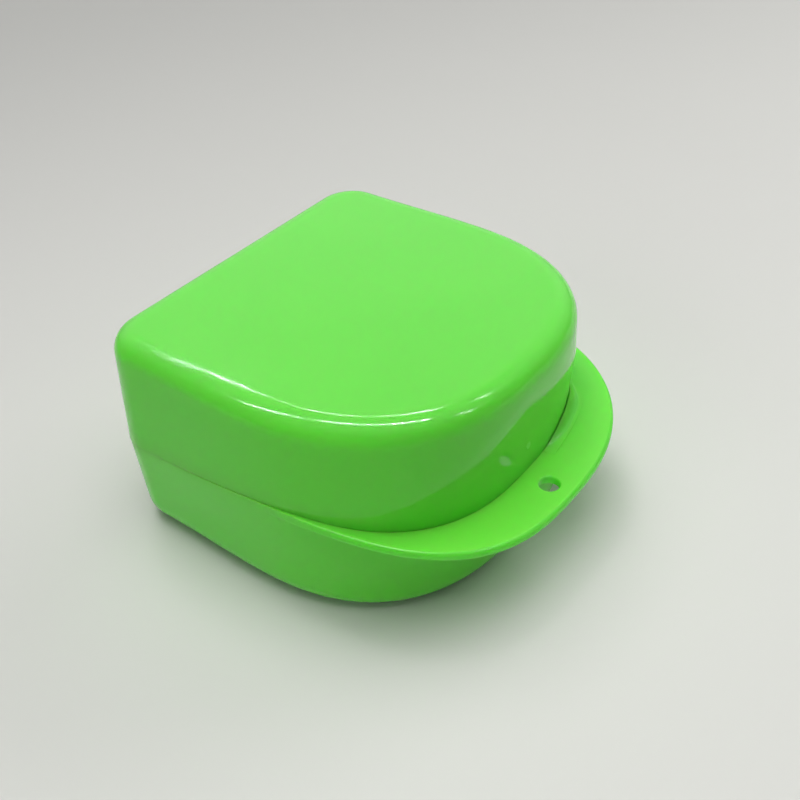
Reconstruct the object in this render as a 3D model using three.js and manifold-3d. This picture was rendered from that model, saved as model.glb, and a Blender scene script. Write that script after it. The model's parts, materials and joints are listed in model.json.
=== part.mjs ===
// Denture case: a polypropylene base tray with a crescent flange, and a domed lid hinged to its back.
// Millimetres, +Z up. The hinge is at the back (+Y), the flange and its cord hole at the front (-Y).
// The origin lies under the middle of the whole closed case, on the surface that it stands on.
import * as THREE from 'three';
import { mergeVertices } from 'three/addons/utils/BufferGeometryUtils.js';
import Module from 'manifold-3d';

const wasm = await Module();
wasm.setup();

// Plan of the case, seen from above: a rounded front, two sides that close in a little and a flat back
const width = 78;
const bodyFront = 39.7;
const bodyBack = 35.5;
const backHalfWidth = 38.3;
const cornerRadius = 9.7;
const frontPower = 2.49;
const height = 45;

// Walls of both mouldings
const wall = 2;
const lidDraft = 0.036;
const baseDraft = 0.078;
const lidEdgeRadius = 4.4;
const baseEdgeRadius = 5.3;
const leastRadius = 0.6;

// Seam between base and lid: level at the hinge, high at the shoulders, low at the front
const seamBack = 20.7;
const seamShoulder = 25.1;
const seamFront = 19;
const seamFallStart = 20;
const seamGap = 0.3;

// Stepped joint: a tongue on the base stands inside the lid's thin skirt
const tongueHeight = 2.3;
const skirt = 0.85;
const tongueGap = 0.3;

// Finger scoop in the lid's front, below an arch, leaning inwards on its way down
const scoopTop = 39.3;
const scoopEnd = 24.4;
const scoopHalfWidth = 34.8;
const scoopPower = 1.7;
const scoopLean = 0.124;
const gatePipRadius = 0.8;
const gatePipHeight = 0.3;
const gatePipZ = 26;

// Crescent flange round the front of the base
const flangeFront = 47.9;
const flangePower = 2.8;
const flangeThickness = 1.8;
const cordHoleRadius = 2;
const cordHoleEdge = 5.1;
const baseFront = 38.6;

// Snap bead on the tongue and its groove in the skirt
const beadRadius = 0.45;
const beadProud = 0.2;
const beadLength = 14;
const beadBelowTop = 0.9;

// Hinge: the lid's knuckle turns on two pips, one on each ear of the base
const knuckleRadius = 2.4;
const knuckleLength = 24;
const earLength = 5;
const hingeGap = 0.3;
const pipRadius = 1.2;
const pipLength = 2.4;
const pipGap = 0.1;
const earGussetDrop = 8;

// Fineness of the curves
const frontSteps = 44;
const cornerSteps = 6;
const sideSteps = 2;
const backSteps = 4;
const edgeSteps = 5;
const seamStepsAcross = 16;
const seamStepsAlong = 10;
const roundSteps = 24;
const cutOverrun = 4;

// Worked out from the sizes above
const halfWidth = width / 2;
const caseBack = bodyBack + knuckleRadius;
const planShift = (flangeFront - caseBack) / 2;
const hinge = new THREE.Vector3(0, bodyBack, seamBack);
const earCentre = knuckleLength / 2 + hingeGap + earLength / 2;

const plastic = new THREE.MeshStandardMaterial({ color: 0x74d95a, roughness: 0.25, metalness: 0 });

// A closed, merged geometry as a solid that can be joined and cut
function solid(geometry) {
  const bare = new THREE.BufferGeometry();
  bare.setAttribute('position', geometry.getAttribute('position').clone());
  if (geometry.index) bare.setIndex(geometry.index.clone());
  const merged = mergeVertices(bare);
  const vertProperties = new Float32Array(merged.getAttribute('position').array);
  const triVerts = new Uint32Array(merged.index.array);
  return new wasm.Manifold(new wasm.Mesh({ numProp: 3, vertProperties, triVerts }));
}

// Rings of equal length, joined one to the next and closed at both ends
function loft(rings) {
  const count = rings[0].length;
  const points = rings.flat();
  const faces = [];
  for (let level = 0; level + 1 < rings.length; level += 1) {
    for (let i = 0; i < count; i += 1) {
      const here = level * count + i;
      const next = level * count + ((i + 1) % count);
      faces.push(here, next, next + count, here, next + count, here + count);
    }
  }
  const last = (rings.length - 1) * count;
  const ends = [rings[0], rings[rings.length - 1]];
  const middles = ends.map((ring) => {
    const middle = new THREE.Vector3();
    ring.forEach((point) => middle.add(point));
    return points.push(middle.divideScalar(count)) - 1;
  });
  for (let i = 0; i < count; i += 1) {
    const next = (i + 1) % count;
    faces.push(middles[0], next, i);
    faces.push(middles[1], last + i, last + next);
  }
  const geometry = new THREE.BufferGeometry().setFromPoints(points);
  geometry.setIndex(faces);
  return solid(geometry);
}

// Point of a superellipse of the given half width and front reach, seen from the plan centre
function frontPoint(angle, half, front, power = frontPower) {
  const across = Math.abs(Math.cos(angle) / half) ** power;
  const along = Math.abs(Math.sin(angle) / front) ** power;
  const radius = (across + along) ** (-1 / power);
  return new THREE.Vector2(radius * Math.cos(angle), radius * Math.sin(angle));
}

// Outline of the case, anticlockwise from the right side: back corners, left side, rounded front
function outline(front, inset) {
  const half = halfWidth - inset;
  const backHalf = backHalfWidth - inset;
  const back = bodyBack - inset;
  const radius = Math.max(cornerRadius - inset, leastRadius);
  const points = [];
  for (let i = 0; i < sideSteps; i += 1) {
    const x = THREE.MathUtils.lerp(half, backHalf, i / sideSteps);
    points.push(new THREE.Vector2(x, ((back - radius) * i) / sideSteps));
  }
  for (const side of [1, -1]) {
    const start = side > 0 ? 0 : Math.PI / 2;
    for (let i = 0; i <= cornerSteps; i += 1) {
      const angle = start + ((Math.PI / 2) * i) / cornerSteps;
      const x = side * (backHalf - radius) + radius * Math.cos(angle);
      const y = back - radius + radius * Math.sin(angle);
      points.push(new THREE.Vector2(x, y));
    }
    for (let i = 1; side > 0 && i < backSteps; i += 1) {
      points.push(new THREE.Vector2((backHalf - radius) * (1 - (2 * i) / backSteps), back));
    }
  }
  for (let i = 1; i < sideSteps; i += 1) {
    const x = THREE.MathUtils.lerp(backHalf, half, i / sideSteps);
    points.push(new THREE.Vector2(-x, (back - radius) * (1 - i / sideSteps)));
  }
  for (let i = 0; i < frontSteps; i += 1) {
    points.push(frontPoint(Math.PI * (1 + i / frontSteps), half, front - inset));
  }
  return points;
}

function ringAt(points, z) {
  return points.map((point) => new THREE.Vector3(point.x, point.y, z));
}

// Height of the seam over a point of the plan
function seamHeight(x, y) {
  const share = THREE.MathUtils.smoothstep(y, -seamFallStart, bodyBack);
  const arch = seamFront + (seamShoulder - seamFront) * (x / halfWidth) ** 2;
  return THREE.MathUtils.lerp(arch, seamBack, share);
}

// Everything below the seam surface, raised or lowered by lift
function belowSeam(lift) {
  const reach = halfWidth + cutOverrun;
  const outside = reach + backHalfWidth;
  const xs = [-outside];
  const ys = [-flangeFront - cutOverrun];
  for (let i = 0; i <= seamStepsAcross; i += 1) xs.push(reach * ((2 * i) / seamStepsAcross - 1));
  xs.push(outside);
  for (let i = 0; i <= seamStepsAlong; i += 1) {
    ys.push(THREE.MathUtils.lerp(-seamFallStart, bodyBack, i / seamStepsAlong));
  }
  ys.push(caseBack + cutOverrun);
  const columns = xs.length;
  const top = ys.flatMap((y) => xs.map((x) => new THREE.Vector3(x, y, seamHeight(x, y) + lift)));
  const bottom = top.map((point) => new THREE.Vector3(point.x, point.y, -cutOverrun));
  const faces = [];
  for (let row = 0; row + 1 < ys.length; row += 1) {
    for (let column = 0; column + 1 < columns; column += 1) {
      const here = row * columns + column;
      const cell = [here, here + 1, here + columns + 1, here + columns];
      const under = cell.map((index) => index + top.length);
      faces.push(cell[0], cell[1], cell[2], cell[0], cell[2], cell[3]);
      faces.push(under[0], under[2], under[1], under[0], under[3], under[2]);
    }
  }
  const border = [];
  for (let i = 0; i < columns; i += 1) border.push(i);
  for (let row = 1; row < ys.length; row += 1) border.push(row * columns + columns - 1);
  for (let i = columns - 2; i >= 0; i -= 1) border.push((ys.length - 1) * columns + i);
  for (let row = ys.length - 2; row > 0; row -= 1) border.push(row * columns);
  border.forEach((here, i) => {
    const next = border[(i + 1) % border.length];
    faces.push(here + top.length, next + top.length, next, here + top.length, next, here);
  });
  const geometry = new THREE.BufferGeometry().setFromPoints([...top, ...bottom]);
  geometry.setIndex(faces);
  return solid(geometry);
}

// Upper edge of the scoop where it meets the front wall at a given x
function scoopEdge(x) {
  return scoopTop - (scoopTop - scoopEnd) * (Math.abs(x) / scoopHalfWidth) ** scoopPower;
}

// What the scoop takes away from a form that lies inset from the lid's outside
function scoopCut(inset) {
  const sections = [];
  const endAngle = Math.acos(scoopHalfWidth / halfWidth);
  const floor = seamFront - tongueHeight - cutOverrun;
  for (let i = 0; i <= frontSteps; i += 1) {
    const angle = Math.PI + endAngle + ((Math.PI - 2 * endAngle) * i) / frontSteps;
    const edge = scoopEdge(frontPoint(angle, halfWidth, bodyFront).x);
    const leaning = (z) => {
      const depth = inset + lidDraft * (z - seamBack) + scoopLean * (edge - z);
      const point = frontPoint(angle, halfWidth - depth, bodyFront - depth);
      return new THREE.Vector3(point.x, point.y, z);
    };
    const far = frontPoint(angle, halfWidth + cutOverrun, flangeFront + cutOverrun);
    sections.push([
      leaning(floor),
      leaning(height),
      new THREE.Vector3(far.x, far.y, height),
      new THREE.Vector3(far.x, far.y, floor),
    ]);
  }
  return loft(sections);
}

// The lid's outside, or the same form set inwards, from below the seam to the rounded top edge
function lidForm(inset) {
  const top = height - inset;
  const radius = lidEdgeRadius - inset;
  const floor = seamFront - cutOverrun;
  const drafted = (z, extra) => ringAt(outline(bodyFront, inset + lidDraft * (z - seamBack) + extra), z);
  const rings = [drafted(floor, 0)];
  for (let i = 0; i <= edgeSteps; i += 1) {
    const turn = ((Math.PI / 2) * i) / edgeSteps;
    rings.push(drafted(top - radius * (1 - Math.sin(turn)), radius * (1 - Math.cos(turn))));
  }
  return loft(rings).subtract(scoopCut(inset));
}

// The base's outside, or the same form set inwards, from the rounded floor edge to above the seam
function baseForm(inset, front) {
  const radius = baseEdgeRadius - inset;
  const drafted = (z, extra) => ringAt(outline(front, inset + baseDraft * (seamBack - z) + extra), z);
  const rings = [];
  for (let i = 0; i <= edgeSteps; i += 1) {
    const turn = ((Math.PI / 2) * i) / edgeSteps;
    rings.push(drafted(inset + radius * (1 - Math.cos(turn)), radius * (1 - Math.sin(turn))));
  }
  rings.push(drafted(seamShoulder + tongueHeight + cutOverrun, 0));
  return loft(rings);
}

// Upright prism on the line where the lid's foot meets the base, set inwards
function footPrism(inset) {
  const foot = outline(bodyFront, inset).map((point) => {
    if (point.y >= 0) return point;
    const angle = Math.atan2(point.y, point.x);
    const wallPoint = frontPoint(angle, halfWidth, bodyFront);
    const rise = scoopEdge(wallPoint.x) - seamHeight(wallPoint.x, wallPoint.y);
    const depth = inset + scoopLean * Math.max(rise, 0);
    return frontPoint(angle, halfWidth - depth, bodyFront - depth);
  });
  return loft([ringAt(foot, baseEdgeRadius), ringAt(foot, scoopTop)]);
}

// Round bar along X, placed by its middle
function bar(radius, length, centre) {
  const geometry = new THREE.CylinderGeometry(radius, radius, length, roundSteps);
  geometry.rotateZ(Math.PI / 2);
  geometry.translate(centre.x, centre.y, centre.z);
  return solid(geometry);
}

function hingePoint(x) {
  return new THREE.Vector3(x, hinge.y, hinge.z);
}

// Length of the back wall that belongs to the hinge, where the stepped joint is left out
function hingeStretch(length) {
  const depth = 2 * (wall + knuckleRadius);
  const geometry = new THREE.BoxGeometry(length, depth, height);
  geometry.translate(0, hinge.y, hinge.z);
  return solid(geometry);
}

// Ear of the base: a round end on the hinge axis, on a gusset that runs down the back wall
function hingeEar(x) {
  const profile = new THREE.Shape();
  profile.moveTo(-wall, -earGussetDrop);
  profile.lineTo(-baseDraft * earGussetDrop, -earGussetDrop);
  profile.lineTo(knuckleRadius, 0);
  profile.absarc(0, 0, knuckleRadius, 0, Math.PI, false);
  profile.lineTo(-wall, 0);
  const settings = { depth: earLength, bevelEnabled: false, curveSegments: roundSteps / 2 };
  const geometry = new THREE.ExtrudeGeometry(profile, settings);
  const alongX = new THREE.Matrix4().makeBasis(
    new THREE.Vector3(0, 1, 0),
    new THREE.Vector3(0, 0, 1),
    new THREE.Vector3(1, 0, 0),
  );
  geometry.applyMatrix4(alongX);
  geometry.translate(x - earLength / 2, hinge.y, hinge.z);
  return solid(geometry).subtract(footPrism(wall));
}

// Bead along the front of the tongue, and with a larger radius the groove for it
function snapBar(extra) {
  const footDepth = scoopLean * (scoopTop - seamFront);
  const face = bodyFront - footDepth - skirt - tongueGap;
  const y = -(face - beadRadius + beadProud);
  const z = seamFront + tongueHeight - beadBelowTop;
  return bar(beadRadius + extra, beadLength + 2 * extra, new THREE.Vector3(0, y, z));
}

function makeFlange() {
  const crescent = [];
  for (let i = 0; i <= frontSteps; i += 1) {
    crescent.push(frontPoint(Math.PI * (1 + i / frontSteps), halfWidth, flangeFront, flangePower));
  }
  const floor = seamFront - flangeThickness - cutOverrun;
  const plate = loft([ringAt(crescent, floor), ringAt(crescent, seamShoulder + cutOverrun)]);
  const slab = plate.intersect(belowSeam(0)).subtract(belowSeam(-flangeThickness));
  const cutter = new THREE.CylinderGeometry(cordHoleRadius, cordHoleRadius, height, roundSteps);
  cutter.rotateX(Math.PI / 2);
  cutter.translate(0, cordHoleEdge - flangeFront, seamFront);
  return slab.subtract(solid(cutter));
}

function makeBase() {
  const footDepth = scoopLean * (scoopTop - seamFront);
  const cavity = baseForm(wall, Math.min(baseFront, bodyFront - footDepth));
  const tray = baseForm(0, baseFront).intersect(belowSeam(0));
  const tongueRing = footPrism(skirt + tongueGap)
    .subtract(footPrism(wall))
    .subtract(hingeStretch(knuckleLength + 2 * hingeGap));
  const tongue = tongueRing.intersect(belowSeam(tongueHeight)).subtract(belowSeam(-flangeThickness));
  let base = tray.add(makeFlange()).subtract(cavity).add(tongue).add(snapBar(0));
  base = base.subtract(bar(knuckleRadius + hingeGap, knuckleLength + 2 * hingeGap, hingePoint(0)));
  for (const side of [1, -1]) {
    base = base.add(hingeEar(side * earCentre));
    const pipCentre = side * (knuckleLength / 2 + hingeGap - pipLength / 2);
    base = base.add(bar(pipRadius, pipLength + wall, hingePoint(pipCentre + (side * wall) / 2)));
  }
  return base;
}

function makeLid() {
  const rebate = footPrism(skirt)
    .intersect(belowSeam(tongueHeight + seamGap))
    .subtract(hingeStretch(knuckleLength));
  let lid = lidForm(0).subtract(lidForm(wall)).subtract(belowSeam(seamGap)).subtract(rebate);
  lid = lid.subtract(snapBar(tongueGap));
  const pipDepth = gatePipHeight + wall / 2;
  const pip = new THREE.CylinderGeometry(gatePipRadius, gatePipRadius, pipDepth, roundSteps);
  const pipInset = scoopLean * (scoopTop - gatePipZ) + lidDraft * (gatePipZ - seamBack);
  pip.translate(0, pipInset - bodyFront - gatePipHeight + pipDepth / 2, gatePipZ);
  lid = lid.add(solid(pip));
  for (const side of [1, -1]) {
    const notchLength = earLength + 2 * hingeGap;
    lid = lid.subtract(bar(knuckleRadius + hingeGap, notchLength, hingePoint(side * earCentre)));
  }
  lid = lid.add(bar(knuckleRadius, knuckleLength, hingePoint(0)));
  for (const side of [1, -1]) {
    const socketDepth = pipLength + hingeGap;
    const socketCentre = side * (knuckleLength / 2 + cutOverrun / 2 - socketDepth / 2);
    lid = lid.subtract(bar(pipRadius + pipGap, socketDepth + cutOverrun, hingePoint(socketCentre)));
  }
  return lid;
}

function namedMesh(name, body) {
  const { numProp, vertProperties, triVerts } = body.getMesh();
  const positions = [];
  for (let i = 0; i < vertProperties.length; i += numProp) {
    positions.push(vertProperties[i], vertProperties[i + 1], vertProperties[i + 2]);
  }
  const geometry = new THREE.BufferGeometry();
  geometry.setAttribute('position', new THREE.Float32BufferAttribute(positions, 3));
  geometry.setIndex(Array.from(triVerts));
  geometry.computeVertexNormals();
  const mesh = new THREE.Mesh(geometry, plastic);
  mesh.name = name;
  return mesh;
}

const dentureCase = new THREE.Group();
dentureCase.name = 'denture_case';
dentureCase.add(namedMesh('base_tray', makeBase()));
dentureCase.add(namedMesh('lid', makeLid()));
dentureCase.position.y = planShift;

export default dentureCase;
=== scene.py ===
# Denture case in light green polypropylene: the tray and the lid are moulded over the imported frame.
# Sizes are in metres, in the frame of the part: +Z up, the hinge at the back (+Y), the flange at the front.
import json
import math

import bmesh
import bpy
from bpy.props import FloatProperty, FloatVectorProperty, PointerProperty
from mathutils import Matrix, Vector


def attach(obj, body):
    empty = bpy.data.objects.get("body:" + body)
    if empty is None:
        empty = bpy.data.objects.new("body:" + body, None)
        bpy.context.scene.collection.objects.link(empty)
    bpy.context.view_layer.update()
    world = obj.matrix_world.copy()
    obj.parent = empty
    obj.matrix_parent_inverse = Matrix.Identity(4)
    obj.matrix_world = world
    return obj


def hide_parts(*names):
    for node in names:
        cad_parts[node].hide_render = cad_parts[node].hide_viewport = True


bl_info = {
    "name": "Denture Case",
    "version": (1, 0, 0),
    "blender": (4, 5, 0),
    "location": "View3D > Sidebar > Denture Case",
    "description": "Moulds the tray and the lid of a denture case and sets the stage round them",
    "category": "Add Mesh",
}

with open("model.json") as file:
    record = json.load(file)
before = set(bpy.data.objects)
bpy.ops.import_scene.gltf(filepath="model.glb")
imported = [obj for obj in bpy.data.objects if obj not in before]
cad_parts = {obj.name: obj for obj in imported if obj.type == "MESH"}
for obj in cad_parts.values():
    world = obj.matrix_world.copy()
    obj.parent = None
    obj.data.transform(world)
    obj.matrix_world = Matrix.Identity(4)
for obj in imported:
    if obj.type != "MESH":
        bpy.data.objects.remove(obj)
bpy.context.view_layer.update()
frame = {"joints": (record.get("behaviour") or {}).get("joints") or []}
LID_JOINT = frame["joints"][0]
HINGE = Vector(LID_JOINT["pos_m"])

MM = 0.001

# Stations round the outline of the case
SIDE_STEPS = 14
CORNER_STEPS = 20
BACK_STEPS = 40
FRONT_STEPS = 140

# Rows along the profile of a wall, and steps round its small edges
SCOOP_STEPS = 12
WALL_STEPS = 10
HOLLOW_STEPS = 6
FLANGE_STEPS = 8
FILLET_STEPS = 12
FLAT_STEPS = 2
ROOT_STEPS = 5
RIM_STEPS = 6
EDGE_STEPS = 3
END_STEPS = 4
ROUND_STEPS = 48
LEDGE_STEPS = 60
LEDGE_FACE_STEPS = 12
CROWDING_POWER = 1.5

# Flat ends: rings drawn in towards the middle
CAP_SHARES = (0.97, 0.8, 0.6, 0.4, 0.2)
FLAT_STEP_SHARE = 0.125
FLOOR_START_SHARE = 1.15
LATHE_CAP_SHARE = 0.1
EAR_CAP_SHARE = 0.5

# Clearances and small roundings
JOIN_DISTANCE = 0.001 * MM
CUT_OVERRUN = 4 * MM
LEAST_RADIUS = 0.6 * MM
SCOOP_LEAST = 2.4 * MM
TONGUE_ROUND = 0.2 * MM
TONGUE_ROOT_DROP = 3.5 * MM
BEAD_BEVEL_SHARE = 0.6
GROOVE_BEVEL_SHARE = 0.5
GATE_ROUND_SHARE = 0.8
SMOOTH_ANGLE = math.radians(36)

# The tray's draft starts softly, this far over the seam and over this height
DRAFT_START = 1.2 * MM
DRAFT_SOFTNESS = 3 * MM

# Where the flange is wide enough for its own rounded rim and underside
FLANGE_LEAST = 0.2 * MM
FLANGE_FADE = 3 * MM
UNDER_ROUND = 0.5 * MM
UNDER_LEAST = 0.05 * MM
UNDER_FADE = 0.5 * MM

# How the ledge rises, runs out, and keeps clear of the scoop that leans out over it
LEDGE_SINK = 0.5 * MM
LEDGE_PLAY = 0.08 * MM
LEDGE_LEAN_SHARE = 1.15
LEDGE_TOE_SHARE = 0.6
LEDGE_NARROW_SHARE = 0.95
LEDGE_EDGE_RUN = 4 * MM
LEDGE_EDGE_START_SHARE = 0.12
LEDGE_EDGE_END_SHARE = 0.08
LEDGE_EDGE_FADE = 1.3
LEDGE_CLIMB_RUN = 10 * MM
LEDGE_CLIMB_START_SHARE = 0.05
LEDGE_CLIMB_END_SHARE = 0.1
LEDGE_HOLLOW_POWER = 2.4

# Stage
FLOOR_HALF = 0.8
FLOOR_CELLS = 8
LOOK_AT = (0, 0, 20 * MM)
TUBE_HEIGHT = 1.0
TUBE_WIDTH = 6 * MM

# Soft panels: name, place, size and watts
PANELS = (
    ("overhead", (-0.12, -0.12, 1.17), (0.9, 0.9), 8.8),
    ("back_high", (0.1, 0.45, 1.1), (0.5, 0.5), 4),
    ("left_fill", (-1.15, 0.15, 0.5), (0.8, 0.8), 2.8),
    ("right_fill", (1.1, -0.3, 0.5), (0.8, 0.8), 6.5),
)

# Tubes that the glossy edges mirror: their ends in plan, and watts a metre
TUBES = (
    ((0.66, 0.78), (0.59, 0.52), 5),
    ((0.59, 0.52), (0.47, 0.08), 5),
    ((-0.11, 0.3), (0.13, -0.36), 14),
    ((-0.36, 0.95), (0.02, 0.85), 0.8),
    ((0.02, 0.85), (0.4, 0.86), 2),
    ((0.4, 0.86), (0.75, 0.9), 6),
    ((-0.68, 0.81), (-0.21, 0.37), 8),
    ((0.53, -0.38), (0.7, -0.72), 4),
    ((0.26, -0.79), (0.5, -1.3), 6),
)


def length(name, description, millimetres):
    """A property that holds a length, given in millimetres and kept in metres."""
    return FloatProperty(name=name, description=description, default=millimetres * MM, unit="LENGTH")


def share(name, description, default):
    """A property that holds a plain number."""
    return FloatProperty(name=name, description=description, default=default, precision=3)


class PlanSizes(bpy.types.PropertyGroup):
    """Plan and height of the closed case."""

    half_width: length("Half Width", "From the middle to a side, at the seam", 39)
    back_half_width: length("Back Half Width", "From the middle to a side, at the back corners", 38.3)
    front_reach: length("Front Reach", "From the plan centre to the lid's front", 39.7)
    back_reach: length("Back Reach", "From the plan centre to the back wall", 35.5)
    corner_radius: length("Corner Radius", "Radius of the back corners in plan", 9.7)
    front_power: share("Front Power", "Squareness of the rounded front", 2.49)
    height: length("Height", "Height of the closed case", 45)
    wall: length("Wall", "Thickness of both mouldings", 2)
    seam_back: length("Seam Back", "Height of the seam at the hinge", 20.7)
    seam_shoulder: length("Seam Shoulder", "Height of the seam at the sides of the front", 25.1)
    seam_front: length("Seam Front", "Height of the seam in the middle of the front", 19)
    seam_fall_start: length("Seam Fall Start", "How far before the centre the seam starts to level out", 20)
    seam_gap: length("Seam Gap", "Hairline between the lid and the tray", 0.006)
    seam_round: length("Seam Rounding", "Small rounding of both edges at the seam", 0.03)


class LidSizes(bpy.types.PropertyGroup):
    """Sizes of the lid."""

    draft: share("Draft", "How far the lid's wall leans in for each unit of height", 0.036)
    edge_radius: length("Edge Radius", "Rounding of the top edge", 4.4)
    scoop_top: length("Scoop Top", "Height of the scoop's arch in the middle", 39.3)
    scoop_end: length("Scoop End", "Height of the scoop's arch at its ends", 24.4)
    scoop_half_width: length("Scoop Half Width", "From the middle to an end of the scoop", 34.8)
    scoop_power: share("Scoop Power", "How square the arch of the scoop is", 1.7)
    scoop_shift: length("Scoop Shift", "How far the arch of the scoop sits to the right of the middle", 1.2)
    scoop_lean: share("Scoop Lean", "How far the scoop leans in for each unit of depth", 0.124)
    crease_softness: length("Crease Softness", "Width of the soft crease along the arch", 2)
    skirt: length("Skirt", "Thickness of the lid's skirt outside the tray's tongue", 0.85)
    gate_radius: length("Gate Radius", "Radius of the small moulding gate in the scoop", 0.8)
    gate_proud: length("Gate Proud", "How far the gate stands out", 0.08)
    gate_height: length("Gate Height", "Height of the gate over the floor", 26)


class TraySizes(bpy.types.PropertyGroup):
    """Sizes of the tray and its flange."""

    draft: share("Draft", "How far the tray's wall leans in for each unit of depth", 0.078)
    edge_radius: length("Edge Radius", "Rounding of the bottom edge", 5.3)
    front_reach: length("Front Reach", "From the plan centre to the tray's front wall", 38.6)
    flange_reach: length("Flange Reach", "From the plan centre to the flange's tip", 47.9)
    flange_power: share("Flange Power", "Squareness of the flange's outline", 2.8)
    flange_thickness: length("Flange Thickness", "Thickness of the flange", 1.8)
    flange_round: length("Flange Rounding", "Rounding of the flange's upper edge", 0.9)
    root_radius: length("Root Radius", "Fillet between the flange and the wall below it", 1.2)
    tongue_height: length("Tongue Height", "Height of the tongue over the seam", 2.3)
    tongue_gap: length("Tongue Gap", "Play between the tongue and the skirt", 0.3)
    hole_radius: length("Hole Radius", "Radius of the cord hole", 2)
    hole_edge: length("Hole Edge", "From the flange's tip to the middle of the cord hole", 5.1)
    hole_round: length("Hole Rounding", "Rounding of the cord hole's rims", 0.3)


class LedgeSizes(bpy.types.PropertyGroup):
    """Sizes of the low ledge on the flange, at the right of the lid's foot."""

    start: length("Start", "From the middle to where the ledge starts", 7.2)
    fade: length("Fade", "From the middle to where the ledge starts to narrow", 22)
    end: length("End", "From the middle to where the ledge runs out", 31)
    half_width: length("Half Width", "Half width of the curve that the ledge's edge follows", 48.1)
    reach: length("Reach", "From the plan centre to the front of that curve", 39.6)
    height: length("Height", "Height of the ledge's edge over the flange", 0.28)
    rise: length("Rise", "Height of the ledge over the flange where it meets the foot", 2.2)


class HingeSizes(bpy.types.PropertyGroup):
    """Sizes of the hinge and the catch."""

    knuckle_radius: length("Knuckle Radius", "Radius of the knuckle and the ears", 2.4)
    knuckle_length: length("Knuckle Length", "Length of the lid's knuckle", 24)
    ear_length: length("Ear Length", "Length of each ear of the tray", 5)
    gap: length("Gap", "Play round the knuckle and the ears", 0.3)
    pip_radius: length("Pip Radius", "Radius of the pips that the lid turns on", 1.2)
    pip_length: length("Pip Length", "Length of each pip", 2.4)
    pip_gap: length("Pip Gap", "Play round a pip in its socket", 0.1)
    gusset_drop: length("Gusset Drop", "How far an ear's gusset runs down the wall", 5)
    end_bevel: length("End Bevel", "Bevel of the knuckle's and the ears' ends", 0.35)
    bead_radius: length("Bead Radius", "Radius of the catch bead on the tongue", 0.45)
    bead_proud: length("Bead Proud", "How far the bead stands out", 0.2)
    bead_length: length("Bead Length", "Length of the catch bead", 14)
    bead_drop: length("Bead Drop", "From the top of the tongue down to the bead", 0.9)


class FinishColours(bpy.types.PropertyGroup):
    """Colours of the plastic and the stage."""

    plastic: FloatVectorProperty(
        name="Plastic", description="Light green polypropylene", subtype="COLOR", default=(0.13, 0.7, 0.047)
    )
    floor: FloatVectorProperty(
        name="Floor", description="Pale grey floor", subtype="COLOR", default=(0.66, 0.66, 0.63)
    )


class CaseSettings(bpy.types.PropertyGroup):
    """Everything that the operators read."""

    plan: PointerProperty(type=PlanSizes, name="Plan", description="Plan and height of the case")
    lid: PointerProperty(type=LidSizes, name="Lid", description="Sizes of the lid")
    tray: PointerProperty(type=TraySizes, name="Tray", description="Sizes of the tray")
    ledge: PointerProperty(type=LedgeSizes, name="Ledge", description="Sizes of the ledge on the flange")
    hinge: PointerProperty(type=HingeSizes, name="Hinge", description="Sizes of the hinge and the catch")
    finish: PointerProperty(type=FinishColours, name="Finish", description="Colours of case and stage")


# Numbers

def lerp(a, b, t):
    """The value a share t of the way from a to b."""
    return a + (b - a) * t


def smooth(t):
    """A share that starts and ends gently."""
    t = min(max(t, 0), 1)
    return t * t * (3 - 2 * t)


def soft_over(depth, softness):
    """The depth where it is over zero and next to nothing below, with a rounded corner between."""
    return (depth + math.hypot(depth, softness)) / 2


def quarter_turns(steps):
    """Angles from nought to a right angle."""
    return [k * math.pi / (2 * steps) for k in range(steps + 1)]


def edge_steps():
    """Angles round the lid's top or the tray's bottom edge, with the flat steps that follow."""
    last = math.pi / 2
    steps = [(turn, 0) for turn in quarter_turns(FILLET_STEPS)[1:]]
    return steps + [(last, k) for k in range(1, FLAT_STEPS + 1)]


def superellipse(angle, half, reach, power):
    """The point of a superellipse in the direction of an angle from its centre."""
    across = abs(math.cos(angle) / half) ** power
    along = abs(math.sin(angle) / reach) ** power
    radius = (across + along) ** (-1 / power)
    return Vector((radius * math.cos(angle), radius * math.sin(angle)))


# Plan

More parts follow.
